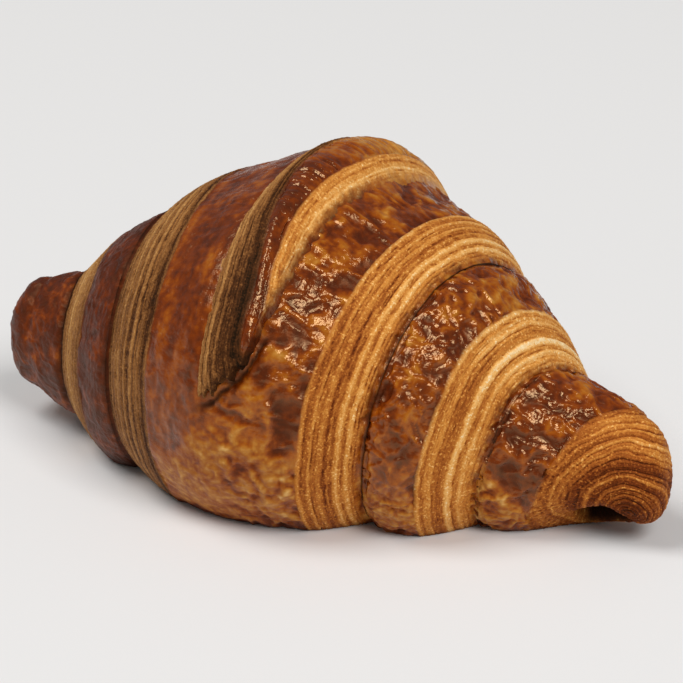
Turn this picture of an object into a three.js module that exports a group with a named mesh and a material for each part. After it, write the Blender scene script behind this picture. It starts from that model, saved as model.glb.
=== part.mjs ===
// A butter croissant: a triangle of laminated dough rolled up from its wide side and baked.
// The roll is one solid. Its skin steps down from the outermost wrap in the middle to the
// innermost one at the two tips, and each step is a slanted cut face of the rolled sheet.
// Millimetres, +Z up. X runs along the roll, the front faces -Y, and the origin is under
// the middle of the roll on the surface that it rests on.

import * as THREE from 'three';
import { mergeVertices } from 'three/addons/utils/BufferGeometryUtils.js';

// The roll as a whole
const LENGTH = 143;
const HALF_LENGTH = LENGTH / 2;

// Half of the roll's depth at places along it, and the length of the round nose at each tip
const HALF_DEPTH = [
  [-64, 9.5], [-55, 14], [-44, 21.9], [-32, 31], [-20, 36.7], [-8, 41.3], [4, 40.6],
  [16, 35.3], [28, 30.3], [40, 20.8], [50, 14.2], [58, 10.5], [65, 8.1],
];
const NOSE_LENGTH = 9.8;
const NOSE_ROUNDNESS = 2.6;

// Height of a section against its depth, in the middle and added at the tips
const ASPECT_MIDDLE = 0.87;
const ASPECT_TIP_EXTRA = 0.56;

// How much of a section's half height stands above the floor: the rest is pressed flat
const SIT_SHARE = 0.73;

// The tips rise off the floor and bow a little to the front
const LEFT_TIP_LIFT = 12.6;
const RIGHT_TIP_LIFT = 8.2;
const LEFT_NOSE_DROP = 6.4;
const RIGHT_NOSE_DROP = 4.2;
const TIP_BOW = -3.5;
const MIDDLE_SKEW = 4.5;

// Hollow under the front of the right tip, where the end of the roll hooks down
const HOOK_HOLLOW = { x: 56, angle: -0.95, depth: 3, halfLength: 7, halfAngle: 0.45 };

// Edges of the rolled sheet, from the middle outwards. Each has a crest, where the skin of
// its wrap ends, and a foot, where its cut face meets the next skin, as X at the very front.
const LEFT_EDGES = [
  { crest: -20.6, foot: -34.5, step: 3.3 },
  { crest: -43.8, foot: -52.6, step: 2.2 },
];
const RIGHT_EDGES = [
  { crest: 11, foot: 21, step: 3.3 },
  { crest: 31.4, foot: 40.1, step: 3.0 },
];
const END_EDGE = { crest: 52.2, step: 2.0 };

// The outermost wrap lies on the third one. Its cut faces change in width round the roll.
const OUTER_WRAP = { leftCrest: 0.1, rightCrest: -4.1, step: 3 };
const LEFT_CUT = { atFront: 10.3, perLean: -2.2, narrowest: 4 };
const RIGHT_CUT = { atFront: 0.6, perLean: 2.6, narrowest: 0.8 };

// The edges wind round the roll: their lean in mm per radian, and their bow in mm
const RIGHT_LEAN = 4.7;
const LEFT_LEAN = 1.4;
const EDGE_BOW = 1;
const BOW_CENTRE = 0.8;
const LEAN_CENTRE = 0.5;
const LEAN_FIRST = 1.55;
const LEAN_SECOND = 0.3;

// The outermost wrap is the triangle's point: it starts at the front, along a slanted end,
// and is tucked in under the roll
const POINT_X = -10.7;
const POINT_ANGLE = 0;
const POINT_SLANT = 0.045;
const POINT_FADE = 0.25;
const TUCK_ANGLE = 4.4;
const TUCK_FADE = 0.3;

// Shapes of a skin's rise and a cut face's fall, and the dip beside the outermost wrap
const SKIN_POWER = 2.5;
const CUT_POWER = 1.7;
const DIP = 0.4;
const DIP_WIDTH = 0.6;
const KNOB_BLEND = 10;

// Grid of the solid
const ANGLE_STEPS = 88;
const SMALLEST_GAP = 0.25;
const NOSE_TIP_GAP = 0.5;
const FRONT_UNDER = -Math.PI / 2;

const CRUST_COLOUR = 0xa85f22;

function clamp01(value) {
  return Math.min(Math.max(value, 0), 1);
}

function smooth(value) {
  const t = clamp01(value);
  return t * t * (3 - 2 * t);
}

// Smooth curve through [place, value] pairs, with the slope at a pair taken from both sides
function curveThrough(pairs, place) {
  const last = pairs.length - 1;
  let i = 0;
  while (i < last - 1 && place > pairs[i + 1][0]) {
    i += 1;
  }
  const rise = (k) => (pairs[k + 1][1] - pairs[k][1]) / (pairs[k + 1][0] - pairs[k][0]);
  const slope = (k) => {
    if (k === 0) return rise(0);
    if (k === last) return rise(last - 1);
    return (rise(k - 1) + rise(k)) / 2;
  };
  const width = pairs[i + 1][0] - pairs[i][0];
  const t = clamp01((place - pairs[i][0]) / width);
  const t2 = t * t;
  const t3 = t2 * t;
  return (2 * t3 - 3 * t2 + 1) * pairs[i][1] + (t3 - 2 * t2 + t) * width * slope(i)
    + (3 * t2 - 2 * t3) * pairs[i + 1][1] + (t3 - t2) * width * slope(i + 1);
}

// Angles run round a section: 0 at the front, a quarter turn at the top
function lean(angle) {
  const t = angle - LEAN_CENTRE;
  const atFront = LEAN_FIRST * Math.sin(LEAN_CENTRE) - LEAN_SECOND * Math.sin(2 * LEAN_CENTRE);
  return LEAN_FIRST * Math.sin(t) - LEAN_SECOND * Math.sin(2 * t) + atFront;
}

function rightLine(x) {
  return (angle) => x + RIGHT_LEAN * lean(angle) + EDGE_BOW * (1 - Math.cos(angle - BOW_CENTRE));
}

function leftLine(x) {
  return (angle) => x - LEFT_LEAN * lean(angle) - EDGE_BOW * (1 - Math.cos(angle - BOW_CENTRE));
}

function cutWidth({ atFront, perLean, narrowest }, angle) {
  return Math.max(atFront + perLean * lean(angle), narrowest);
}

// The four lines of the outermost wrap, from left to right
function outerLines() {
  const leftCrest = leftLine(OUTER_WRAP.leftCrest);
  const rightCrest = rightLine(OUTER_WRAP.rightCrest);
  return {
    leftFoot: (angle) => leftCrest(angle) - cutWidth(LEFT_CUT, angle),
    leftCrest,
    rightCrest,
    rightFoot: (angle) => rightCrest(angle) + cutWidth(RIGHT_CUT, angle),
  };
}

function skinRise(share, step) {
  return step * (0.5 - (1 - clamp01(share)) ** SKIN_POWER);
}

function cutFall(share, step) {
  return step * (0.5 - clamp01(share) ** CUT_POWER);
}

// Height of the outermost wrap over the one below it, from its crest down to its foot
function outerStep(share) {
  if (share <= 0) return 1;
  if (share <= 1) return 1 - (1 + DIP) * share ** CUT_POWER;
  return -DIP * (1 - clamp01((share - 1) / DIP_WIDTH));
}

function outerRise(x, angle) {
  const lines = outerLines();
  const left = lines.leftCrest(angle);
  const right = lines.rightCrest(angle);
  const share = Math.max(
    (x - left) / (lines.leftFoot(angle) - left),
    (x - right) / (lines.rightFoot(angle) - right),
  );
  const pointAngle = POINT_ANGLE + POINT_SLANT * (x - POINT_X);
  const there = smooth((angle - pointAngle) / POINT_FADE)
    * smooth((TUCK_ANGLE - angle) / TUCK_FADE);
  return there * OUTER_WRAP.step * outerStep(share);
}

// Steps of the inner wraps on one side: both edges are listed from the middle to the tip
function sideRise(x, angle, edges, line) {
  const [third, second] = edges;
  const between = (from, to) => (x - line(from)(angle)) / (line(to)(angle) - line(from)(angle));
  const onThird = between(third.crest, third.foot);
  const onSecondSkin = between(third.foot, second.crest);
  const onSecond = between(second.crest, second.foot);
  if (onThird < 0) return third.step / 2;
  if (onThird <= 1) return cutFall(onThird, third.step);
  if (onSecondSkin <= 1) return skinRise(onSecondSkin, second.step);
  if (onSecond <= 1) return cutFall(onSecond, second.step);
  return null;
}

function leftTipRise(x, angle) {
  const { foot, step } = LEFT_EDGES[1];
  const share = (leftLine(foot)(angle) - x) / KNOB_BLEND;
  return -step / 2 * (1 - clamp01(share)) ** 2;
}

function rightTipRise(x, angle) {
  const foot = rightLine(RIGHT_EDGES[1].foot)(angle);
  const crest = rightLine(END_EDGE.crest)(angle);
  if (x < crest) return skinRise((x - foot) / (crest - foot), END_EDGE.step);
  return END_EDGE.step / 2 * (1 - clamp01((x - crest) / (HALF_LENGTH - crest)));
}

function hookHollow(x, angle) {
  const { depth, halfLength, halfAngle } = HOOK_HOLLOW;
  const along = (x - HOOK_HOLLOW.x) / halfLength;
  const round = (angle - HOOK_HOLLOW.angle) / halfAngle;
  return depth * Math.exp(-along * along - round * round);
}

// Relief of the wraps: how far the surface stands above or below the plain body
function relief(x, angle) {
  const onRight = x > 0;
  const side = onRight
    ? sideRise(x, angle, RIGHT_EDGES, rightLine)
    : sideRise(x, angle, LEFT_EDGES, leftLine);
  const tip = onRight ? rightTipRise(x, angle) : leftTipRise(x, angle);
  const inner = side === null ? tip : side;
  return inner + outerRise(x, angle) - hookHollow(x, angle);
}

function liftAt(t) {
  return (t < 0 ? LEFT_TIP_LIFT : RIGHT_TIP_LIFT) * Math.abs(t) ** 3;
}

// Point of the surface at a place along the roll and an angle round it
function surfacePoint(x, angle) {
  const t = x / HALF_LENGTH;
  const noseStart = HALF_LENGTH - NOSE_LENGTH;
  const intoNose = clamp01((Math.abs(x) - noseStart) / NOSE_LENGTH);
  const round = (1 - intoNose ** NOSE_ROUNDNESS) ** (1 / NOSE_ROUNDNESS);
  const depth = curveThrough(HALF_DEPTH, x);
  const height = depth * (ASPECT_MIDDLE + ASPECT_TIP_EXTRA * t * t);
  const rise = relief(x, angle);
  const centreY = TIP_BOW * t * t + MIDDLE_SKEW * t * (1 - t * t);
  const noseDrop = (x < 0 ? LEFT_NOSE_DROP : RIGHT_NOSE_DROP) * intoNose * intoNose;
  const centreZ = height * SIT_SHARE + liftAt(t) - noseDrop;
  const y = centreY - (depth + rise) * round * Math.cos(angle);
  const z = centreZ + (height + rise) * round * Math.sin(angle);
  return new THREE.Vector3(x, y, Math.max(z, 0));
}

// Lines along which the surface bends: tip, crests and feet, each with the number of strips
// that lead to it from the line before
function bendLines() {
  const straight = (x) => () => x;
  const outer = outerLines();
  return [
    { line: straight(-HALF_LENGTH + NOSE_TIP_GAP), strips: 1 },
    { line: straight(-HALF_LENGTH + NOSE_LENGTH), strips: 4 },
    { line: leftLine(LEFT_EDGES[1].foot), strips: 3 },
    { line: leftLine(LEFT_EDGES[1].crest), strips: 2 },
    { line: leftLine(LEFT_EDGES[0].foot), strips: 3 },
    { line: leftLine(LEFT_EDGES[0].crest), strips: 4 },
    { line: outer.leftFoot, strips: 3 },
    { line: outer.leftCrest, strips: 3 },
    { line: outer.rightCrest, strips: 2 },
    { line: outer.rightFoot, strips: 2 },
    { line: rightLine(RIGHT_EDGES[0].crest), strips: 3 },
    { line: rightLine(RIGHT_EDGES[0].foot), strips: 4 },
    { line: rightLine(RIGHT_EDGES[1].crest), strips: 3 },
    { line: rightLine(RIGHT_EDGES[1].foot), strips: 4 },
    { line: rightLine(END_EDGE.crest), strips: 3 },
    { line: straight(HALF_LENGTH - NOSE_LENGTH), strips: 2 },
    { line: straight(HALF_LENGTH - NOSE_TIP_GAP), strips: 5 },
  ];
}

// Places of the grid's columns at one angle, kept in order from left to right
function columnsAt(angle, lines) {
  const bends = lines.map(({ line }) => line(angle));
  for (let i = 1; i < bends.length; i += 1) {
    bends[i] = Math.max(bends[i], bends[i - 1] + SMALLEST_GAP * lines[i].strips);
  }
  const columns = [bends[0]];
  for (let i = 1; i < bends.length; i += 1) {
    for (let k = 1; k <= lines[i].strips; k += 1) {
      columns.push(bends[i - 1] + (bends[i] - bends[i - 1]) * k / lines[i].strips);
    }
  }
  return columns;
}

// Closed surface: rings of columns round the roll, and one point at each tip
function makeRoll() {
  const lines = bendLines();
  const vertices = [];
  let columnCount = 0;
  for (let j = 0; j < ANGLE_STEPS; j += 1) {
    const angle = FRONT_UNDER + 2 * Math.PI * j / ANGLE_STEPS;
    const columns = columnsAt(angle, lines);
    columnCount = columns.length;
    columns.forEach((x) => vertices.push(surfacePoint(x, angle)));
  }
  const leftTip = vertices.push(surfacePoint(-HALF_LENGTH, 0)) - 1;
  const rightTip = vertices.push(surfacePoint(HALF_LENGTH, 0)) - 1;
  const faces = [];
  for (let j = 0; j < ANGLE_STEPS; j += 1) {
    const here = j * columnCount;
    const next = ((j + 1) % ANGLE_STEPS) * columnCount;
    faces.push(leftTip, here, next);
    faces.push(rightTip, next + columnCount - 1, here + columnCount - 1);
    for (let i = 0; i < columnCount - 1; i += 1) {
      faces.push(here + i, here + i + 1, next + i + 1);
      faces.push(here + i, next + i + 1, next + i);
    }
  }
  const geometry = new THREE.BufferGeometry().setFromPoints(vertices);
  geometry.setIndex(faces);
  return mergeVertices(geometry);
}

// The origin is moved under the middle of the roll's bounding box
function moveToOrigin(geometry) {
  geometry.computeBoundingBox();
  const box = geometry.boundingBox;
  const middle = box.getCenter(new THREE.Vector3());
  geometry.translate(-middle.x, -middle.y, -box.min.z);
  geometry.computeVertexNormals();
  return geometry;
}

const crust = new THREE.MeshStandardMaterial({
  color: CRUST_COLOUR, roughness: 0.4, metalness: 0,
});
const roll = new THREE.Mesh(moveToOrigin(makeRoll()), crust);
roll.name = 'croissant';

const croissant = new THREE.Group();
croissant.add(roll);

export default croissant;
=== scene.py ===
"""A baked butter croissant, made as nested wraps of laminated dough.

The roll lies along X and its front faces -Y. An angle round the roll starts at the front (0), goes
over the top (a quarter turn) and ends underneath. Lengths are in millimetres until a mesh is made.
"""

import logging
import math
from dataclasses import dataclass
from enum import Enum

import bpy
import numpy as np
from mathutils import Matrix, Vector


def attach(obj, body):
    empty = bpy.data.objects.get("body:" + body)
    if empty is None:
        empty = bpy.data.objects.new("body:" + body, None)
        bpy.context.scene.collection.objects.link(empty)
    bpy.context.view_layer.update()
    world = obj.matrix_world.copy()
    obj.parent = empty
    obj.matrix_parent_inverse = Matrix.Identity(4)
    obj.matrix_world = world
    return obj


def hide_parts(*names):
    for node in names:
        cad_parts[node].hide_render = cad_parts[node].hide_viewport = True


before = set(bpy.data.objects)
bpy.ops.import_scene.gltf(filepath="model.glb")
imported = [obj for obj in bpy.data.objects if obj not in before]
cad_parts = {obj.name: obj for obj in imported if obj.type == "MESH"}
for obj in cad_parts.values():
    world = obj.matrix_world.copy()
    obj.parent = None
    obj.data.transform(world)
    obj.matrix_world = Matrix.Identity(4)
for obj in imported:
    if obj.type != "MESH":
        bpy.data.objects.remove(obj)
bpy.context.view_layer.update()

log = logging.getLogger("croissant")
MM = 0.001


class Side(Enum):
    """The two sides of the roll, seen from its front."""

    LEFT = -1
    RIGHT = 1


class Zone(Enum):
    """What a column of the surface shows."""

    HIDDEN = 0
    SKIN = 1
    CUT = 2
    WALL = 3


def fit(values: np.ndarray) -> np.ndarray:
    """Hold values between 0 and 1.

    Args:
        values: Any numbers.

    Returns:
        The numbers, cut off at 0 and 1.
    """
    return np.clip(values, 0.0, 1.0)


def ease(values: np.ndarray) -> np.ndarray:
    """Go smoothly from 0 to 1: t t (3 - 2 t).

    Args:
        values: Numbers, of which 0 to 1 is the changing part.

    Returns:
        The smooth step of each.
    """
    t = fit(values)
    return t * t * (3.0 - 2.0 * t)


def blob(distance: np.ndarray, width: float) -> np.ndarray:
    """Fall off from 1 as exp(-(distance / width) squared).

    Args:
        distance: Distances in mm.
        width: Where it has fallen to about a third.

    Returns:
        Weights from 0 to 1.
    """
    return np.exp(-np.square(distance / width))


def between(values: np.ndarray, low: float, high: float, rising: float,
            falling: float) -> np.ndarray:
    """Go smoothly from 0 to 1 past a low border, and back to 0 before a high one.

    Args:
        values: Any numbers.
        low: Where it starts to rise.
        high: Where it has fallen to 0 again.
        rising: How long the rise takes.
        falling: How long the fall takes.

    Returns:
        Weights from 0 to 1.
    """
    return ease((values - low) / rising) * ease((high - values) / falling)


def one_turn(angle: np.ndarray) -> np.ndarray:
    """Count angles from straight below: -1.57 there, up over the front, to 4.71.

    Args:
        angle: Angles round the roll.

    Returns:
        The same directions within that one turn.
    """
    return (angle + 0.5 * math.pi) % (2.0 * math.pi) - 0.5 * math.pi


def lip(share: np.ndarray, width: float, depth: float = 0.4) -> np.ndarray:
    """Drop a cut face below its crest by depth times a smooth step of 0.4 mm.

    Args:
        share: Places from 0 at the crest to 1 at the foot.
        width: Usual width of the face in mm.
        depth: How far it drops in mm.

    Returns:
        Height at each place, 0 or less.
    """
    return -depth * ease(share * width / 0.4)


def curve(pairs: tuple[tuple[float, float], ...], x: np.ndarray) -> np.ndarray:
    """Read a smooth curve: a cubic through the pairs, each slope the mean of its two sides.

    Args:
        pairs: Places and values that it goes through.
        x: Where to read it.

    Returns:
        Its value at each place, level beyond the ends.
    """
    at, value = np.array(pairs, dtype=float).T
    rate = np.diff(value) / np.diff(at)
    slope = np.concatenate([rate[:1], (rate[:-1] + rate[1:]) / 2.0, rate[-1:]])
    i = np.clip(np.searchsorted(at, x, side="right") - 1, 0, len(at) - 2)
    span = at[i + 1] - at[i]
    t = fit((x - at[i]) / span)
    ends = (2 * t**3 - 3 * t**2 + 1) * value[i] + (3 * t**2 - 2 * t**3) * value[i + 1]
    slopes = (t**3 - 2 * t**2 + t) * slope[i] + (t**3 - t**2) * slope[i + 1]
    return ends + slopes * span


class Grain:
    """Repeatable noise in space, from one seed."""

    def __init__(self, seed: int) -> None:
        """Draw the tables.

        Args:
            seed: Picks the pattern.
        """
        rng = np.random.default_rng(seed)
        self.table = np.tile(rng.permutation(256), 2)
        slopes = rng.normal(size=(256, 3))
        self.slopes = slopes / np.linalg.norm(slopes, axis=1, keepdims=True)
        self.spots = rng.random((256, 3))

    def pick(self, cell: np.ndarray) -> np.ndarray:
        """Turn cell numbers into table rows.

        Args:
            cell: Whole numbers, xyz on the last axis.

        Returns:
            A row of the tables for each cell.
        """
        cell = cell & 255
        row = self.table[cell[..., 0]]
        row = self.table[row + cell[..., 1]]
        return self.table[row + cell[..., 2]]

    def smooth(self, points: np.ndarray) -> np.ndarray:
        """Blend the slopes at the eight corners of each point's cell.

        Args:
            points: Points in cells, xyz on the last axis.

        Returns:
            Noise of about -1 to 1.
        """
        cell = np.floor(points).astype(np.int64)
        part = points - cell
        blend = part * part * part * (part * (part * 6.0 - 15.0) + 10.0)
        total = np.zeros(points.shape[:-1])
        for corner in np.ndindex(2, 2, 2):
            offset = np.array(corner)
            slope = self.slopes[self.pick(cell + offset)]
            weight = np.prod(np.where(offset == 1, blend, 1.0 - blend), axis=-1)
            total += weight * np.sum(slope * (part - offset), axis=-1)
        return total * 1.6

    def ridged(self, points: np.ndarray) -> np.ndarray:
        """Fold the noise into sharp ridges: 1 - |smooth|, for points in cells."""
        return 1.0 - np.abs(self.smooth(points))

    def layered(self, points: np.ndarray, size: float, octaves: int = 3) -> np.ndarray:
        """Add up noise of halving size and height.

        Args:
            points: Points in mm.
            size: Size of the largest lumps in mm.
            octaves: How many sizes.

        Returns:
            Noise of about -1 to 1.
        """
        total = np.zeros(points.shape[:-1])
        for octave in range(octaves):
            step = 2.0 ** octave
            total += self.smooth(points * step / size + 17.3 * octave) / step
        return total

    def cells(self, points: np.ndarray, size: float) -> tuple[np.ndarray, np.ndarray, np.ndarray]:
        """Find the nearest and second nearest spot of a scattered set.

        Args:
            points: Points in mm.
            size: Usual distance between spots in mm.

        Returns:
            The two distances, in sizes, and a random number per cell.
        """
        place = points / size
        home = np.floor(place).astype(np.int64)
        first = np.full(place.shape[:-1], 9.0)
        second = first.copy()
        number = np.zeros(place.shape[:-1])
        for offset in np.ndindex(3, 3, 3):
            cell = home + np.array(offset) - 1
            row = self.pick(cell)
            away = np.linalg.norm(cell + self.spots[row] - place, axis=-1)
            nearer = away < first
            second = np.where(nearer, first, np.minimum(second, away))
            number = np.where(nearer, row / 255.0, number)
            first = np.minimum(first, away)
        return first, second, number


@dataclass(frozen=True)
class Edge:
    """A wrap's edge in mm: where its skin and its cut face end, and how far the face falls."""

    crest: float
    foot: float
    step: float


@dataclass(frozen=True)
class RollForm:
    """The form of the whole roll, in mm and radians."""

    half_length: float = 71.5
    half_depth: tuple[tuple[float, float], ...] = (
        (-64, 9.5), (-55, 14), (-44, 21.9), (-32, 31), (-20, 36.7), (-8, 41.3), (4, 40.6),
        (16, 35.3), (28, 30.3), (40, 20.8), (50, 14.2), (58, 10.5), (65, 8.1))
    nose_length: float = 9.8
    nose_roundness: float = 2.6
    aspect_middle: float = 0.87
    aspect_tip_extra: float = 0.56
    sit_share: float = 0.73
    left_tip_lift: float = 12.6
    right_tip_lift: float = 8.2
    left_nose_drop: float = 6.4
    right_nose_drop: float = 4.2
    tip_bow: float = -3.5
    middle_skew: float = 4.5
    middle_y: float = 1.24
    depth_limit: float = 44.75
    right_lean: float = 4.7
    left_lean: float = 1.4
    edge_bow: float = 1.0
    bow_centre: float = 0.8
    skin_power: float = 2.5
    cut_power: float = 1.35
    third_left: Edge = Edge(-20.6, -34.5, 3.3)
    third_right: Edge = Edge(11.0, 21.0, 3.3)
    second_left: Edge = Edge(-43.8, -52.6, 2.2)
    second_right: Edge = Edge(31.4, 40.1, 3.0)
    end_right: Edge = Edge(52.2, 71.5, 2.0)
    outer_step: float = 3.0
    outer_dip: float = 0.5
    outer_end_from: float = -0.02
    outer_end: tuple[tuple[float, float], ...] = (
        (-10.5, 0.06), (-5.0, 0.11), (-2.5, 0.19), (0.0, 0.26), (2.0, 0.34), (4.0, 0.48))

    def lean(self, angle: np.ndarray) -> np.ndarray:
        """Say how far an edge has wound sideways.

        It is 1.55 sin t - 0.3 sin 2t with t = angle - 0.5, moved so that it is 0 in front.

        Args:
            angle: Angles round the roll.

        Returns:
            Lean of the edges at each.
        """
        t = angle - 0.5
        at_front = 1.55 * math.sin(0.5) - 0.3 * math.sin(1.0)
        return 1.55 * np.sin(t) - 0.3 * np.sin(2.0 * t) + at_front

    def line(self, side: Side, x: float, angle: np.ndarray) -> np.ndarray:
        """Follow an edge round the roll: x + side (lean share + bow (1 - cos(angle - centre))).

        Args:
            side: Side that the edge is on.
            x: Where the edge crosses the front.
            angle: Angles round the roll.

        Returns:
            Place of the edge along the roll at each angle.
        """
        share = self.right_lean if side is Side.RIGHT else self.left_lean
        bow = self.edge_bow * (1.0 - np.cos(angle - self.bow_centre))
        return x + side.value * (share * self.lean(angle) + bow)

    def skin_rise(self, u: np.ndarray, step: float) -> np.ndarray:
        """Rise of a skin from crevice (u = 0) to crest (u = 1): step (0.5 - (1 - u)^power)."""
        return step * (0.5 - np.power(1.0 - fit(u), self.skin_power))

    def cut_rise(self, v: np.ndarray, step: float) -> np.ndarray:
        """Fall of a cut face from crest (v = 0) to foot (v = 1): step (0.5 - v^power)."""
        return step * (0.5 - np.power(fit(v), self.cut_power))

    def point(self, x: np.ndarray, angle: np.ndarray, rise: np.ndarray) -> np.ndarray:
        """Place points of the roll.

        y = mid - (depth + rise) round cos(angle); z = centre + (height + rise) round sin(angle).

        Args:
            x: Places along the roll.
            angle: Angles round it.
            rise: Height above the plain roll.

        Returns:
            Points in mm, xyz on the last axis, not yet cut off at the floor.
        """
        x, angle, rise = np.broadcast_arrays(x, angle, rise)
        t = x / self.half_length
        into = fit((np.abs(x) - self.half_length + self.nose_length) / self.nose_length)
        power = self.nose_roundness
        narrow = np.power(fit(1.0 - np.power(into, power)), 1.0 / power)
        depth = curve(self.half_depth, x)
        height = depth * (self.aspect_middle + self.aspect_tip_extra * t * t)
        lift = np.where(t < 0, self.left_tip_lift, self.right_tip_lift)
        drop = np.where(t < 0, self.left_nose_drop, self.right_nose_drop)
        mid_y = self.tip_bow * t * t + self.middle_skew * t * (1.0 - t * t) - self.middle_y
        mid_z = height * self.sit_share + lift * np.abs(t) ** 3 - drop * into * into
        y = mid_y - (depth + rise) * narrow * np.cos(angle)
        z = mid_z + (height + rise) * narrow * np.sin(angle)
        return np.stack([x, y, z], axis=-1)


@dataclass(frozen=True)
class Rows:
    """How the rows are spread round the roll: most of them over the front and the top."""

    count: int
    fine_from: float = -1.75
    fine_to: float = 2.35
    fine_share: float = 0.84

    def angles(self) -> np.ndarray:
        """List the angles of one full turn.

        Returns:
            Rising angles, the last one short of the first by a step.
        """
        borders = np.array([self.fine_from, self.fine_to, self.fine_from + 2.0 * math.pi])
        shares = np.array([0.0, self.fine_share, 1.0])
        return np.interp(np.arange(self.count) / self.count, shares, borders)


@dataclass(frozen=True)
class Plies:
    """The bundles of layers across a cut face, from crest to foot.

    A tone goes from 0, nearly black, over brown and gold to 1, cream. Each bundle bulges by ridge
    and holds fine layers of their own thickness and depth. Lengths are in mm.
    """

    widths: tuple[float, ...]
    tones: tuple[float, ...]
    ridge: float = 0.26
    fine_layer: float = 0.58
    fine_depth: float = 0.13

    def read(self, v: np.ndarray) -> tuple[np.ndarray, np.ndarray, np.ndarray]:
        """Look up the layers at places across the face.

        Args:
            v: Places from 0 at the crest to 1 at the foot.

        Returns:
            Layer number, rounding (0 in a groove, 1 on a ridge) and tone at each place.
        """
        borders = np.concatenate([[0.0], np.cumsum(self.widths)]) / sum(self.widths)
        number = np.clip(np.searchsorted(borders, v, side="right") - 1, 0, len(self.widths) - 1)
        inside = fit((v - borders[number]) / (borders[number + 1] - borders[number]))
        rounding = 1.0 - np.abs(2.0 * inside - 1.0) ** 2.6
        centres = (borders[:-1] + borders[1:]) / 2.0
        return number, rounding, np.interp(v, centres, self.tones)


class Strip:
    """Columns of one wrap, kept as arrays of rows by columns."""

    def __init__(self, angle: np.ndarray) -> None:
        """Start with no columns.

        Args:
            angle: Angle of every row.
        """
        self.row_angle = angle
        self.parts: list[tuple[np.ndarray, ...]] = []

    def add(self, zone: Zone, start: np.ndarray, end: np.ndarray, shares: np.ndarray,
            rise: np.ndarray, floor: float = 0.0) -> None:
        """Append columns that run from one edge to another.

        Args:
            zone: What they show.
            start: Place of the first edge at every row.
            end: Place of the second edge at every row.
            shares: Where each column is between them.
            rise: Height of each column, or of each row and column.
            floor: Lowest z that the columns may have.
        """
        x = start[:, None] + (end - start)[:, None] * shares[None, :]
        width = np.abs(end - start)[:, None] + 0.0 * x
        share = shares[None, :] + 0.0 * x
        kind = np.full(x.shape, zone.value)
        self.parts.append((x, rise + 0.0 * x, share, width, kind, np.full(x.shape, floor)))

    def close(self) -> None:
        """Join the columns into whole arrays."""
        joined = [np.concatenate(arrays, axis=1) for arrays in zip(*self.parts)]
        self.x, self.rise, self.share, self.width, self.zone, self.floor = joined
        self.angle = self.row_angle[:, None] + 0.0 * self.x

    def shows(self, zone: Zone) -> np.ndarray:
        """Tell the columns of a zone."""
        return self.zone == zone.value

    def chart(self, length: float, rate: float) -> np.ndarray:
        """Lay the columns out flat, as points (x / length, angle * rate, 0).

        Args:
            length: Length in mm that counts as one along the roll.
            rate: What one radian round it counts as.

        Returns:
            Points for noise that follows the roll, xyz on the last axis.
        """
        return np.stack([self.x / length, self.angle * rate, 0.0 * self.x], axis=-1)


def even(count: int) -> np.ndarray:
    """Spread columns evenly from 0 up to, but not at, 1.

    Args:
        count: How many.

    Returns:
        Shares.
    """
    return np.arange(count) / count


def bunched(count: int) -> np.ndarray:
    """Spread columns from 0 up to, but not at, 1, closer and closer: 1 - (1 - t) ** 1.8.

    Args:
        count: How many.

    Returns:
        Shares.
    """
    return 1.0 - (1.0 - even(count)) ** 1.8


def outward(points: np.ndarray, loop_rows: bool, loop_columns: bool) -> np.ndarray:
    """Work out the unit normals of a grid: the cross product of its two tangents.

    Args:
        points: Rows by columns by xyz.
        loop_rows: Whether the last row is joined to the first.
        loop_columns: Whether the last column is joined to the first.

    Returns:
        Normals, all on one side of the grid.
    """
    def tangent(axis: int, loop: bool) -> np.ndarray:
        """Take the difference of the neighbours along one axis.

        Args:
            axis: Axis of the grid.
            loop: Whether the grid closes on itself along it.

        Returns:
            Difference at each point.
        """
        if loop:
            return np.roll(points, -1, axis=axis) - np.roll(points, 1, axis=axis)
        return np.gradient(points, axis=axis)

    normal = np.cross(tangent(1, loop_columns), tangent(0, loop_rows))
    return normal / np.maximum(np.linalg.norm(normal, axis=-1, keepdims=True), 1e-9)


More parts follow.
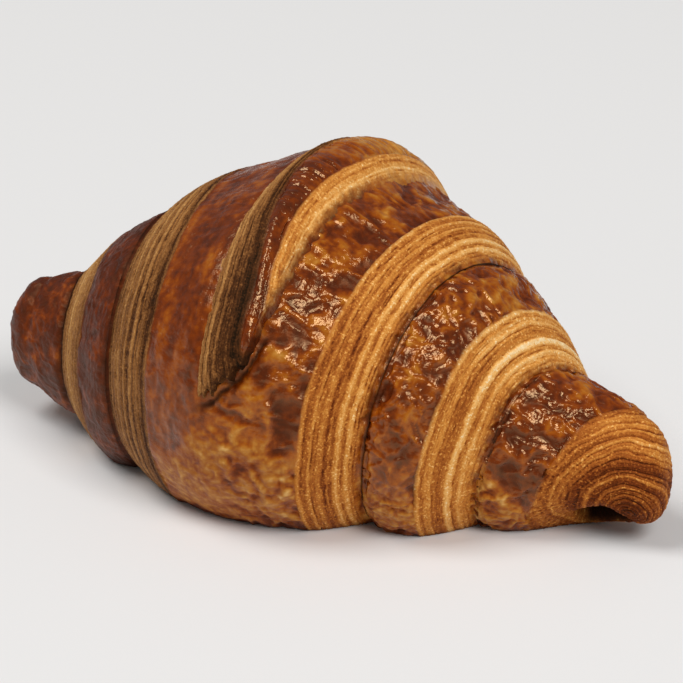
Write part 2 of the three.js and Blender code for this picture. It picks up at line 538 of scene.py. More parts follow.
def make_mesh(name: str, points: np.ndarray, loop_rows: bool, loop_columns: bool,
              marks: dict[str, np.ndarray]) -> bpy.types.Object:
    """Make a closed mesh of a grid; an open direction ends in a pole at both ends.

    Args:
        name: Name of the piece.
        points: Rows by columns by xyz, in mm.
        loop_rows: Whether the rows go all round.
        loop_columns: Whether the columns go all round.
        marks: Values for every point, by attribute name.

    Returns:
        The new object, with its faces outward.
    """
    if not loop_rows:
        points = points.transpose(1, 0, 2)
        marks = {key: value.T for key, value in marks.items()}
    loops, bands = points.shape[0], points.shape[1]
    number = np.arange(loops * bands).reshape(loops, bands)
    ahead = np.roll(number, -1, axis=0)
    places = points.reshape(-1, 3)
    values = {key: value.reshape(-1) for key, value in marks.items()}
    if loop_rows and loop_columns:
        right = np.roll(number, -1, axis=1)
        quads = np.stack([number, right, np.roll(right, -1, axis=0), ahead], axis=-1)
        triangles = np.zeros((0, 3), dtype=np.int64)
    else:
        quads = np.stack([number[:, :-1], number[:, 1:], ahead[:, 1:], ahead[:, :-1]], axis=-1)
        first, last = len(places), len(places) + 1
        start_fan = np.stack([number[:, 0], ahead[:, 0], np.full(loops, first)], axis=-1)
        end_fan = np.stack([ahead[:, -1], number[:, -1], np.full(loops, last)], axis=-1)
        triangles = np.concatenate([start_fan, end_fan])
        poles = np.stack([points[:, 0].mean(axis=0), points[:, -1].mean(axis=0)])
        places = np.concatenate([places, poles])
        values = {key: np.concatenate([value, [value[0], value[bands - 1]]])
                  for key, value in values.items()}
    quads = quads.reshape(-1, 4)
    corners = [quads[:, [0, 1, 2]], quads[:, [0, 2, 3]], triangles]
    a, b, c = (places[np.concatenate([group[:, k] for group in corners])] for k in range(3))
    if np.sum(a * np.cross(b, c)) < 0.0:
        quads, triangles = quads[:, ::-1], triangles[:, ::-1]
    order = np.concatenate([quads.reshape(-1), triangles.reshape(-1)])
    sizes = np.concatenate([np.full(len(quads), 4), np.full(len(triangles), 3)])
    mesh = bpy.data.meshes.new(name)
    mesh.vertices.add(len(places))
    mesh.vertices.foreach_set("co", (places * MM).astype(np.float32).reshape(-1))
    mesh.loops.add(len(order))
    mesh.loops.foreach_set("vertex_index", order.astype(np.int32))
    mesh.polygons.add(len(sizes))
    starts = np.concatenate([[0], np.cumsum(sizes)[:-1]])
    mesh.polygons.foreach_set("loop_start", starts.astype(np.int32))
    mesh.polygons.foreach_set("loop_total", sizes.astype(np.int32))
    mesh.update(calc_edges=True)
    mesh.validate()
    mesh.polygons.foreach_set("use_smooth", np.ones(len(mesh.polygons), dtype=bool))
    for key, value in values.items():
        layer = mesh.attributes.new(key, "FLOAT", "POINT")
        layer.data.foreach_set("value", value.astype(np.float32))
    piece = bpy.data.objects.new(name, mesh)
    bpy.context.scene.collection.objects.link(piece)
    return piece


@dataclass(frozen=True)
class SkinFinish:
    """How a glazed skin is shaped and baked; bake 0 is pale gold, 1 is nearly black.

    Patches vary the bake. Blisters are the height and the size of the crinkles in mm, and wrinkle
    is the height of the folds on top. From an angle on, the top's bake is shifted: painted light,
    a lighter top for the light and its hazy reflection from above.
    Left of the middle the skin may be calmer. Below the pale border, pairs of a place and an
    angle, it has a bake of its own. A hollow is darker by hollow_bake for each mm.
    """

    bake: float
    patch: float
    blister: float
    blister_size: float
    seed: int
    wrinkle: float = 0.0
    wrinkle_from: float = 0.75
    painted_top_bake: float = 0.0
    top_from: float = 0.8
    calm_left: float = 0.0
    calm_bake: float = 0.0
    pale_border: tuple[tuple[float, float], ...] = ((0.0, -1.5), (1.0, -1.5))
    pale_bake: float = 0.37
    hollow_bake: float = 0.6
    darkest: float = 0.84
    gloss: float = 1.0


class Wrap:
    """One wrap of dough: its columns, its relief and its marks."""

    name = "wrap"
    loop_rows = True
    loop_columns = True
    # Crinkles of the skin: height, and width as a share of the blister size; and their mean height.
    crinkles = ((1.2, 1.25), (0.75, 0.6), (0.12, 0.33))
    crinkle_level = 1.69
    # Size and height of the lumps under them, and how far the skin stays under the form, in mm.
    lump_size = 9.0
    lump_height = 0.35
    skin_inset = 0.36
    # Angle at which the folds on top of the skin end, and at which the top itself ends.
    folds_end = 2.5
    top_end = 2.8
    # How far in mm the layers of a cut face wave.
    waviness = 0.26
    # Painted light: how much lighter a face that looks left and one that looks right are painted on
    # top, where the light from above falls.
    painted_top_tones = (0.07, 0.13)
    # Width in mm over which a face that looks right takes on the skin's finish, and where on the
    # face that ends.
    merge = 1.7
    foot_share = 1.0
    # Painted shade: whether shade is painted into the crevice at the start of the skin and at the
    # foot of a face, how wide each band is in mm, and how dark it is on the left, the side away
    # from the key light, and on the right.
    start_shade = True
    foot_shade = True
    start_width = 0.7
    foot_width = 0.6
    crevice_shade_depths = (0.5, 0.12)
    # Painted shade on the hidden start and the inner wall, which lie inside.
    buried_shade = 0.9
    # Columns left of this place look left, and a face there gets this much painted shade:
    # greyer, darker layer colours, as on the side away from the key light.
    left_until = -14.0
    left_shade_amount = 0.85
    # How far below the darkest bake the bake starts to level off.
    bake_knee = 0.22

    def __init__(self, form: RollForm, rows: Rows, finish: SkinFinish) -> None:
        """Keep what every wrap needs.

        Args:
            form: Form of the roll.
            rows: Spread of the rows.
            finish: How its skin is baked.
        """
        self.form = form
        self.rows = rows
        self.finish = finish
        self.grain = Grain(finish.seed)

    def jagged(self, angle: np.ndarray, salt: float, size: float = 0.3) -> np.ndarray:
        """Make an edge line wander: long waves of about 14 mm and short ones of about 2 mm.

        Args:
            angle: Angles of the rows.
            salt: Picks the line.
            size: Height of the long waves in mm.

        Returns:
            Shift of the edge in mm.
        """
        round_roll = np.stack([np.cos(angle), np.sin(angle), 0.0 * angle], axis=-1) * 34.0
        shifted = round_roll + salt
        long_wave = self.grain.smooth(shifted / 14.0)
        return size * (long_wave + 0.4 * self.grain.smooth(shifted / 1.7))

    def calm(self, strip: Strip) -> np.ndarray:
        """Say how calm the skin is: 0 right of the middle, calm_left from 8 mm left of it on."""
        return self.finish.calm_left * ease(-strip.x / 8.0)

    def skin_relief(self, place: np.ndarray,
                    strip: Strip) -> tuple[np.ndarray, np.ndarray, np.ndarray]:
        """Shape a glazed skin: three sizes of crinkle, creases, lumps, drawn lines and wrinkles.

        Args:
            place: Points of the plain surface.
            strip: The columns.

        Returns:
            Height in mm, at most about 0, how deep the crinkles lie, and a number per cell,
            lower in its creases.
        """
        finish, grain, size = self.finish, self.grain, self.finish.blister_size
        bend = np.stack([grain.layered(place + 31.0 * k, 1.3 * size, 2) for k in range(3)], axis=-1)
        first, second, number = grain.cells(place + 0.55 * size * bend, size)
        crease = 1.0 - ease((second - first) / 0.3)
        bent = place + 0.45 * size * bend
        ripple = -0.25 * crease * number - self.crinkle_level
        for k, (share, width) in enumerate(self.crinkles):
            ripple = ripple + share * grain.ridged(bent / (width * size) + 40.0 * k)
        calm = self.calm(strip)
        drawn = grain.ridged(strip.chart(1.1, 4.0) + 0.3 * bend)
        crinkle = finish.blister * (1.0 - calm) * ripple + 0.22 * calm * (drawn - 0.8)
        height = crinkle + self.lump_height * grain.layered(place, self.lump_size, 2)
        height = height + 0.03 * grain.smooth(place / 1.2)
        if finish.wrinkle > 0.0:
            run = strip.chart(11.0, 27.0)
            folds = grain.ridged(run + 0.3 * bend)
            top = between(strip.angle, finish.wrinkle_from, self.folds_end, 0.35, 0.3)
            wrinkle = finish.wrinkle * top * strip.shows(Zone.SKIN)
            height = height + wrinkle * (folds - 0.8)
            height = height + 0.3 * wrinkle * grain.smooth(run * [2.0, 1.9, 1.0] + 7.0)
            crinkle = crinkle + 0.7 * wrinkle * (folds - 0.75)
        height = height - 0.15 * finish.blister - self.skin_inset
        return height, np.mean(crinkle) - crinkle, number - crease

    def cut_relief(self, place: np.ndarray, strip: Strip,
                   plies: Plies) -> tuple[np.ndarray, np.ndarray]:
        """Shape a cut face: bulging bundles of fine layers that wave, with crumbs on them.

        Args:
            place: Points of the plain surface.
            strip: The columns.
            plies: Its layers.

        Returns:
            Height in mm, at most about 0, and tone.
        """
        grain = self.grain
        v, across = self.cut_place(place, strip)
        wave = self.waviness * (grain.smooth(place / 11.0) + 0.5 * grain.smooth(place / 3.0 + 9.0))
        number, rounding, tone = plies.read(fit(v + wave / across))
        along = np.stack([number * 7.31, strip.angle * 3.2, 0.0 * v], axis=-1)
        long_streak = grain.smooth(along)
        streak = long_streak + 0.5 * grain.smooth(along * [1.0, 4.0, 1.0] + 5.0)
        fine = (v * across + wave + 0.1 * grain.smooth(place / 1.6)) / plies.fine_layer
        layer = np.floor(fine)
        fine_rounding = 1.0 - np.abs(2.0 * (fine - layer) - 1.0) ** 3
        chance = grain.spots[layer.astype(np.int64) & 255, 0] - 0.5
        top = between(one_turn(strip.angle), 0.55, self.top_end, 0.6, 0.4)
        height = plies.ridge * (0.8 + 0.4 * streak + 0.5 * top) * (rounding - 1.0)
        height = height + plies.fine_depth * (fine_rounding - 1.0)
        height = height + 0.08 * grain.layered(place, 0.9, 2) - 0.08
        fade = fit(0.75 + 0.5 * long_streak)
        tone = tone + 0.05 * streak + 0.16 * chance + 0.05 * grain.layered(place, 1.8, 2)
        tone = tone + 0.06 * grain.smooth(place / 15.0 + 3.0)
        tone = tone - (0.26 + 0.12 * top) * (1.0 - rounding) ** 3 * fade
        tone = tone - 0.16 * (1.0 - fine_rounding) ** 2 * fade
        # Painted light: the layers are lighter on top.
        return height, tone + np.where(self.is_left(strip), *self.painted_top_tones) * top

    def skin_bake(self, place: np.ndarray, strip: Strip,
                  number: np.ndarray) -> tuple[np.ndarray, np.ndarray]:
        """Say how dark and how glossy the skin is.

        Args:
            place: Points of the plain surface.
            strip: The columns.
            number: Number per cell, lower in its creases.

        Returns:
            Bake and gloss.
        """
        finish, grain = self.finish, self.grain
        calm = self.calm(strip)
        patches = grain.layered(place + 50.0, 5.5, 4) + 0.4 * (number - 0.3)
        run = strip.chart(2.8, 2.6)
        streaks = grain.smooth(run) + 0.6 * grain.smooth(run * 2.3 + 11.0)
        bake = finish.bake + finish.patch * (patches + (streaks - 0.95 * patches) * calm)
        # Painted light: from an angle on, the top of the skin is made lighter.
        top = between(strip.angle, finish.top_from, self.top_end, 0.5, 0.4)
        bake = bake + finish.calm_bake * calm + finish.painted_top_bake * top
        turned = one_turn(strip.angle)
        wander = 0.14 * grain.layered(place, 9.0, 2)
        pale = ease((curve(finish.pale_border, strip.x) + wander - turned) / 0.22)
        pale = np.maximum(pale, ease((turned - 3.3 + wander) / 0.3))
        flaky = 1.0 - 2.0 * np.abs(grain.layered(place + 20.0, 2.1, 3))
        mottled = finish.pale_bake + 0.12 * grain.layered(place + 70.0, 5.0, 3)
        mottled = mottled + 0.17 * (flaky - 0.3) - 0.05 * number
        gloss = finish.gloss * (1.0 - 0.35 * calm) * (1.0 - 0.5 * pale)
        return bake + (mottled - bake) * pale, gloss

    def columns(self) -> Strip:
        """Lay out the columns; every wrap has its own."""
        raise NotImplementedError

    def cut_faces(self, place: np.ndarray, strip: Strip) -> tuple[np.ndarray, np.ndarray]:
        """Give height and tone of the cut faces; every kind of wrap has its own."""
        raise NotImplementedError

    def cut_place(self, place: np.ndarray, strip: Strip) -> tuple[np.ndarray, np.ndarray]:
        """Let the layers of a cut face run along its edge.

        Args:
            place: Points of the plain surface.
            strip: The columns.

        Returns:
            Place across the face, 0 at the crest, and the width in mm that it counts in.
        """
        return strip.share, np.maximum(strip.width, 1.0)

    def cut_share(self, place: np.ndarray, strip: Strip) -> np.ndarray:
        """Say how bare the layers are: fully, but for the crest and a right face's foot.

        Args:
            place: Points of the plain surface.
            strip: The columns.

        Returns:
            1 for bare layers, 0 for skin.
        """
        cut = strip.shows(Zone.CUT) * ease(strip.share * strip.width / 0.35)
        if self.merge > 0.0:
            to_foot = (self.foot_share - strip.share) * strip.width
            to_foot = to_foot + 0.5 * self.grain.layered(place, 1.8, 2)
            cut = cut * np.where(self.is_left(strip), 1.0, ease(to_foot / self.merge))
        return cut

    def extra(self, place: np.ndarray, strip: Strip) -> tuple[np.ndarray, np.ndarray]:
        """Add hollows of the wrap's own; most have none.

        Args:
            place: Points of the plain surface.
            strip: The columns.

        Returns:
            Height in mm and painted shade.
        """
        return np.zeros(strip.x.shape), np.zeros(strip.x.shape)

    def is_left(self, strip: Strip) -> np.ndarray:
        """Tell the columns that look left."""
        return strip.x < self.left_until

    def crevice_shade(self, strip: Strip) -> np.ndarray:
        """Paint shade into the start of a skin, the foot of a cut face and what lies inside.

        Args:
            strip: The columns.

        Returns:
            Painted shade from 0 to 1.
        """
        at_start = blob(strip.share * strip.width, self.start_width) * strip.shows(Zone.SKIN)
        at_foot = blob((1.0 - strip.share) * strip.width, self.foot_width) * strip.shows(Zone.CUT)
        shown = np.maximum(self.start_shade * at_start, self.foot_shade * at_foot)
        depth = np.where(self.is_left(strip), *self.crevice_shade_depths)
        buried = np.where(strip.shows(Zone.HIDDEN), ease((0.75 - strip.share) / 0.3),
                          strip.shows(Zone.WALL))
        return np.maximum(depth * shown, self.buried_shade * buried)

    def levelled(self, bake: np.ndarray) -> np.ndarray:
        """Let the bake level off towards the darkest: knee + k (1 - exp(-(bake - knee) / k)).

        Args:
            bake: Any bake.

        Returns:
            The same below the knee, and less than the darkest above it.
        """
        knee = self.finish.darkest - self.bake_knee
        over = np.maximum(bake - knee, 0.0)
        return np.minimum(bake, knee) + self.bake_knee * (1.0 - np.exp(-over / self.bake_knee))

    def build(self) -> bpy.types.Object:
        """Make the wrap's mesh.

        Returns:
            Its object, with the marks that its finish reads.
        """
        strip = self.columns()
        shown = strip.shows(Zone.SKIN) | strip.shows(Zone.CUT)
        plain = self.form.point(strip.x, strip.angle, strip.rise)
        normal = outward(plain, self.loop_rows, self.loop_columns)
        below = self.form.point(strip.x, strip.angle, strip.rise - 5.0)
        normal = normal * math.copysign(1.0, np.sum(normal * (plain - below) * shown[..., None]))
        skin_height, hollow, number = self.skin_relief(plain, strip)
        cut_height, tone = self.cut_faces(plain, strip)
        cut = self.cut_share(plain, strip)
        more_height, more_shade = self.extra(plain, strip)
        height = (skin_height + (cut_height - skin_height) * cut + more_height) * shown
        points = plain + normal * height[..., None]
        points[..., 2] = np.maximum(points[..., 2], strip.floor)
        limit = self.form.depth_limit
        points[..., 1] = np.clip(points[..., 1], -limit, limit)
        bake, gloss = self.skin_bake(plain, strip, number)
        # The lowest millimetres are darker, and the rim on the floor is dark.
        bake = self.levelled(bake + self.finish.hollow_bake * hollow)
        bake = bake + 0.25 * blob(points[..., 2], 2.6)
        rim = 0.5 * blob(points[..., 2], 0.8)
        # Painted shade in crevices, cracks and gaps, and the dark rim on the floor, make one mark.
        dark = fit(np.maximum(np.maximum(self.crevice_shade(strip), more_shade), rim))
        gloss = gloss * (1.0 - dark) * (1.0 - 0.6 * ease((hollow - 0.12) / 0.3))
        # A face that looks left gets painted shade of its own.
        marks = {"cut": cut, "tone": tone, "left_shade": self.left_shade_amount * self.is_left(strip),
                 "bake": bake, "gloss": gloss, "dark": dark}
        return make_mesh(self.name, points, self.loop_rows, self.loop_columns, marks)


class SidedWrap(Wrap):
    """A wrap that shows on one side of the roll and has one cut face."""

    kind = "wrap"

    def __init__(self, form: RollForm, rows: Rows, finish: SkinFinish, side: Side,
                 plies: Plies) -> None:
        """Pick a side.

        Args:
            form: Form of the roll.
            rows: Spread of the rows.
            finish: How its skin is baked.
            side: Side of the roll.
            plies: Layers of its cut face.
        """
        super().__init__(form, rows, finish)
        self.side = side
        self.plies = plies
        self.name = f"{self.kind}_{side.name.lower()}"

    def cut_faces(self, place: np.ndarray, strip: Strip) -> tuple[np.ndarray, np.ndarray]:
        """Give height and tone of the one cut face."""
        return self.cut_relief(place, strip, self.plies)


class TwoFacedWrap(Wrap):
    """A wrap over the middle of the roll, with a cut face at each end."""

    def __init__(self, form: RollForm, rows: Rows, finish: SkinFinish, left: Plies,
                 right: Plies) -> None:
        """Keep both faces.

        Args:
            form: Form of the roll.
            rows: Spread of the rows.
            finish: How its skin is baked.
            left: Layers of its left cut face.
            right: Layers of its right cut face.
        """
        super().__init__(form, rows, finish)
        self.left = left
        self.right = right

    def cut_faces(self, place: np.ndarray, strip: Strip) -> tuple[np.ndarray, np.ndarray]:
        """Give height and tone of both cut faces, each with its own layers.

        Args:
            place: Points of the plain surface.
            strip: The columns.

        Returns:
            Height in mm and tone.
        """
        left_height, left_tone = self.cut_relief(place, strip, self.left)
        right_height, right_tone = self.cut_relief(place, strip, self.right)
        is_left = self.is_left(strip)
        height = np.where(is_left, left_height, right_height)
        return height, np.where(is_left, left_tone, right_tone)


class SecondWrap(SidedWrap):
    """The second wrap from the inside, which shows as a ring on each side."""

    kind = "second_wrap"

    def columns(self) -> Strip:
        """Lay out the columns: hidden start, skin, cut face, curled foot and inner wall.

        Returns:
            The columns.
        """
        form, side = self.form, self.side
        angle = self.rows.angles()
        outer = form.third_right if side is Side.RIGHT else form.third_left
        own = form.second_right if side is Side.RIGHT else form.second_left
        start = form.line(side, outer.foot, angle)
        hidden = start - side.value * 4.5
        crest = form.line(side, own.crest, angle) + self.jagged(angle, 3.0)
        foot = form.line(side, own.foot, angle) + self.jagged(angle, 8.0, 0.25)
        under = foot - side.value * 1.4
        u = even(40)
        v = even(54)
        strip = Strip(angle)
        deep = -outer.step / 2 - 3.0
        strip.add(Zone.HIDDEN, hidden, start, even(7), deep + 2.6 * even(7) ** 2, 0.7)
        skin = form.skin_rise(u, own.step) - 0.2 * blob(u * 10.0, 0.9)
        strip.add(Zone.SKIN, start, crest, u, skin)
        strip.add(Zone.CUT, crest, foot, v, form.cut_rise(v, own.step) + lip(v, 9.0))
        curl = -own.step / 2 - 0.4 - 3.2 * even(5) ** 0.8
        strip.add(Zone.WALL, foot, under, even(5), curl, 0.2)
        strip.add(Zone.WALL, under, hidden, even(8), np.full(8, -own.step / 2 - 4.8), 1.4)
        strip.close()
        return strip


class ThirdWrap(TwoFacedWrap):
    """The third wrap, a barrel with a cut face at each end, under the outer wrap."""

    name = "third_wrap"
    # Its long skin starts at a crest, not in a crevice, so no shade is painted there.
    start_shade = False
    # Radius of the roll where the outer wrap ends, depth of the crack there, and how dark its
    # painted shade is.
    front_radius = 41.0
    crack_depth = 0.7
    crack_dark = 0.9

    def columns(self) -> Strip:
        """Lay out the columns from the left foot over both faces to the inner wall.

        Returns:
            The columns.
        """
        form = self.form
        angle = self.rows.angles()
        left, right = form.third_left, form.third_right
        left_foot = form.line(Side.LEFT, left.foot, angle) + self.jagged(angle, 1.0, 0.25)
        left_crest = form.line(Side.LEFT, left.crest, angle) + self.jagged(angle, 2.0)
        right_crest = form.line(Side.RIGHT, right.crest, angle) + self.jagged(angle, 3.0)
        right_foot = form.line(Side.RIGHT, right.foot, angle) + self.jagged(angle, 4.0, 0.25)
        v = even(50)
        # The left face runs from foot to crest, so its shares are turned round.
        back = 1.0 - v
        wall, curl = even(4), 3.0 * even(4) ** 0.8
        strip = Strip(angle)
        strip.add(Zone.CUT, left_crest, left_foot, back,
                  form.cut_rise(back, left.step) + lip(back, 10.0))
        strip.add(Zone.SKIN, left_crest, right_crest, even(70), np.full(70, left.step / 2))
        strip.add(Zone.CUT, right_crest, right_foot, v,
                  form.cut_rise(v, right.step) + lip(v, 10.0))
        strip.add(Zone.WALL, right_foot, right_foot - 1.4, wall, -right.step / 2 - 0.4 - curl, 0.2)
        strip.add(Zone.WALL, right_foot - 1.4, left_foot + 1.4, even(10), np.full(10, -6.4), 1.4)
        strip.add(Zone.WALL, left_foot + 1.4, left_foot, wall,
                  -left.step / 2 - 0.4 - 3.0 * (1.0 - wall) ** 0.8, 0.2)
        strip.close()
        return strip

    def extra(self, place: np.ndarray, strip: Strip) -> tuple[np.ndarray, np.ndarray]:
        """Tear a crack into the skin along the ragged end of the outer wrap, with painted shade in
        it.

        Args:
            place: Points of the plain surface.
            strip: The columns.

        Returns:
            Height in mm and painted shade.
        """
        form = self.form
        end = form.outer_end_from + curve(form.outer_end, strip.x)
        below = (end - strip.angle) * self.front_radius
        ragged = below - 0.2 + 0.9 * self.grain.layered(place, 2.2, 2)
        crack = between(strip.x, -9.5, 4.8, 5.0, 1.4) * blob(ragged, 1.0)
        return -self.crack_depth * crack, self.crack_dark * crack


class OuterWrap(TwoFacedWrap):
    """The outermost wrap: the point of the dough triangle, which ends on the front."""

    name = "outer_wrap"
    loop_rows = False
    merge = 2.2
    foot_share = 0.8
    # Painted light on top: much on the left face, little on the right one.
    painted_top_tones = (0.17, 0.02)
    # Painted shade: none at the start of the skin, a wider band at the feet, darker on the left
    # face.
    start_shade = False
    foot_width = 0.9
    crevice_shade_depths = (0.7, 0.1)
    # Angle at which the wrap ends, well under the croissant.
    last_angle = 4.4
    # Columns of the left face, and how many of the first ones look left and get the painted shade
    # of a face that looks left.
    left_columns = 52
    looking_left_columns = 60
    # Edges as pairs of an angle from the slanted end on and a place along the roll.
    left_foot = ((0.0, -10.0), (0.5, -10.3), (1.0, -10.2), (1.5, -9.4), (2.2, -9.2), (3.1, -10.7),
                 (4.4, -12.8))
    left_crest = ((0.0, 3.0), (0.15, 1.0), (0.35, 0.4), (0.65, 0.2), (0.85, -0.4), (1.1, -2.5),
                  (1.4, -3.8), (2.1, -3.8), (3.1, -3.7), (4.4, -2.6))
    right_crest = ((0.0, 3.1), (0.15, 3.4), (0.35, 3.1), (0.65, 2.6), (0.9, 2.3), (1.1, 1.9),
                   (1.35, 2.4), (1.6, 3.8), (2.1, 5.7), (3.1, 4.6), (4.4, -2.0))
    right_foot = ((0.0, 3.6), (0.2, 5.0), (0.6, 6.0), (0.9, 6.8), (1.1, 7.6), (1.4, 9.0),
                  (1.7, 10.2), (2.1, 11.6), (3.1, 9.1), (4.4, 0.0))

    def columns(self) -> Strip:
        """Lay out the columns: left foot, left face, skin, right face, foot and inner wall.

        Returns:
            The columns.
        """
        form = self.form
        turn = np.linspace(0.0, 1.0, self.rows.count)
        angle = np.interp(turn, [0.0, 0.03, 0.8, 1.0],
                          [form.outer_end_from, 0.06, 2.45, self.last_angle])
        open_up = ease((angle - 0.15) / 0.5)
        left = curve(self.left_crest, angle) + self.jagged(angle, 2.0, 0.4) * open_up
        right = curve(self.right_crest, angle) + self.jagged(angle, 5.0, 0.4) * open_up
        left_foot = curve(self.left_foot, angle) + self.jagged(angle, 7.0, 0.4)
        right_foot = curve(self.right_foot, angle) + self.jagged(angle, 9.0, 0.15) * open_up
        step = form.outer_step
        base = form.third_left.step / 2 + 0.2
        deep = base - 3.2
        v = even(self.left_columns)
        # The left face runs from foot to crest, so its shares are turned round.
        back = 1.0 - v
        face = base + step * (1.0 - (1.0 + form.outer_dip) * back ** form.cut_power)
        crown = base + step - 0.8 * (2.0 * even(40) - 1.0) ** 2
        down, wall = even(26), even(3)
        fan = base + step * (1.0 - 1.42 * down ** 0.95) - 0.8 * (1.0 - down) ** 3 - 0.2
        strip = Strip(angle)
        strip.add(Zone.CUT, left, left_foot, back, face - v ** 3 - 0.2)
        strip.add(Zone.SKIN, left, right, even(40), crown)
        strip.add(Zone.CUT, right, right_foot, down, fan)
        strip.add(Zone.WALL, right_foot, right_foot - 1.0, wall, base - 0.5 * step - 1.5 * wall)
        strip.add(Zone.WALL, right_foot - 1.0, left_foot + 1.0, even(10), np.full(10, deep), 0.6)
        strip.add(Zone.WALL, left_foot + 1.0, left_foot, wall,
                  base - 0.4 * step - 1.5 * (1.0 - wall))
        strip.close()
        torn = 0.06 * self.grain.layered(strip.chart(1.0, 0.0), 1.5, 3)
        slant = curve(form.outer_end, strip.x) * (1.0 - ease(strip.angle / 0.95))
        strip.angle = strip.angle + slant + torn * (1.0 - ease(strip.angle / 0.5))
        ends = between(angle, 0.0, self.last_angle, 0.045, 0.25)
        strip.rise = deep + (strip.rise - deep) * ends[:, None]
        return strip

    def is_left(self, strip: Strip) -> np.ndarray:
        """Tell the columns of the left face, which come first, and the start of the skin."""
        return np.arange(strip.x.shape[1])[None, :] + 0.0 * strip.x < self.looking_left_columns

    def crevice_shade(self, strip: Strip) -> np.ndarray:
        """Paint shade into the feet of both faces and under the ragged end on the front.

        Args:
            strip: The columns.

        Returns:
            Painted shade from 0 to 1.
        """
        # Painted shade under the slanted end, in its first rows.
        turn = np.arange(strip.x.shape[0])[:, None] / strip.x.shape[0] + 0.0 * strip.x
        return np.maximum(super().crevice_shade(strip), blob(turn, 0.02))


class Tip(SidedWrap):
    """The innermost wrap, which shows as a blunt tip on each side."""

    kind = "tip"
    loop_columns = False
    merge = 0.0
    waviness = 0.7
    # Painted shade: none at the foot, a wider band at the start of the skin, darker on the left.
    foot_shade = False
    start_width = 1.1
    crevice_shade_depths = (0.7, 0.15)
    # Usual length of what shows of a tip.
    length = 19.0
    # Crest of the cut end as pairs of an angle and a place along the roll.
    end_crest = ((-1.75, 46.0), (-0.55, 47.5), (0.17, 52.0), (0.55, 54.3), (0.92, 57.0),
                 (1.3, 60.5), (1.75, 63.5), (2.3, 63.5), (3.2, 59.0), (4.0, 52.0), (4.54, 46.0))
    # Place and angle of the middle of the curl, and how far its rings reach.
    curl = (65.6, -0.60)
    curl_reach = 24.0
    # Upper border of the hollow under the right tip, as pairs of a place and an angle.
    hollow_border = ((54.0, -0.85), (55.5, -0.66), (58.8, -0.48), (61.0, -0.44), (62.6, -0.55),
                     (65.0, -0.85), (67.0, -1.1))
    hollow_depth = 5.0

    def columns(self) -> Strip:
        """Lay out the columns: hidden start, skin, and the cut end or the bare nose.

        Returns:
            The columns.
        """
        form, side = self.form, self.side
        angle = self.rows.angles()
        outer = form.second_right if side is Side.RIGHT else form.second_left
        start = form.line(side, outer.foot, angle)
        hidden = start - side.value * 4.0
        nose = np.full(angle.shape, side.value * form.half_length)
        strip = Strip(angle)
        if side is Side.RIGHT:
            step = form.end_right.step
            crest = curve(self.end_crest, angle) + self.jagged(angle, 3.0, 0.35)
            deep = -outer.step / 2 - 2.6
            strip.add(Zone.HIDDEN, hidden, start, even(6), deep + 2.4 * even(6) ** 2, 0.7)
            u = even(42)
            skin = form.skin_rise(u, step) - 0.15 * blob(u * 12.0, 0.9)
            strip.add(Zone.SKIN, start, crest, u, skin)
            v = bunched(92)
            strip.add(Zone.CUT, crest, nose, v,
                      step / 2 * (1.0 - v) + lip(v, self.length, 0.35))
        else:
            strip.add(Zone.HIDDEN, hidden, start, even(6), -4.0 + 0.8 * even(6), 0.7)
            u = bunched(96)
            knob = -outer.step / 2 * np.square(1.0 - fit(u * self.length / 10.0))
            strip.add(Zone.SKIN, start, nose, u, knob - blob(u * self.length, 1.5))
        strip.close()
        # The roll is drawn in below the front of the right tip.
        strip.rise = strip.rise - 3.0 * blob(strip.x - 56.0, 7.0) * blob(strip.angle + 0.95, 0.45)
        return strip

    def cut_place(self, place: np.ndarray, strip: Strip) -> tuple[np.ndarray, np.ndarray]:
        """Let the layers of the cut end run in rings about the curl.

        Args:
            place: Points of the plain surface.
            strip: The columns.

        Returns:
            1 less the distance from the curl as a share of its reach, and that reach.
        """
        x, angle = (np.array([value]) for value in self.curl)
        away = np.linalg.norm(place - self.form.point(x, angle, 0.0 * x)[0], axis=-1)
        return fit(1.0 - away / self.curl_reach), np.full(away.shape, self.curl_reach)

    def extra(self, place: np.ndarray, strip: Strip) -> tuple[np.ndarray, np.ndarray]:
        """Cut the gap under the right tip's curl, with painted shade in it, and raise the curl's
        lip.

        Args:
            place: Points of the plain surface.
            strip: The columns.

        Returns:
            Height in mm and painted shade.
        """
        if self.side is Side.LEFT:
            return super().extra(place, strip)
        border = curve(self.hollow_border, strip.x)
        within = between(strip.x, 53.5, 66.0, 2.5, 2.0)
        below = ease((border - strip.angle) / 0.13)
        # Painted shade in the gap, lighter towards the nose.
        open_part = below * ease((strip.angle + 1.45) / 0.2)
        shade = below * ease((strip.angle + 1.5) / 0.12)
        shade = shade * (1.0 - 0.5 * ease((strip.x - 62.5) / 2.5))
        edge = blob((strip.angle - border - 0.12) * 10.0, 1.1) * within
        return 0.35 * edge - self.hollow_depth * within * open_part, within * shade


def linear(code: str) -> tuple[float, float, float, float]:
    """Turn an sRGB hex code into linear colour.

    Args:
        code: Six hex digits.

    Returns:
        Red, green, blue and alpha.
    """
    parts = [int(code[i:i + 2], 16) / 255.0 for i in (0, 2, 4)]
    flat = [c / 12.92 if c <= 0.04045 else ((c + 0.055) / 1.055) ** 2.4 for c in parts]
    return flat[0], flat[1], flat[2], 1.0


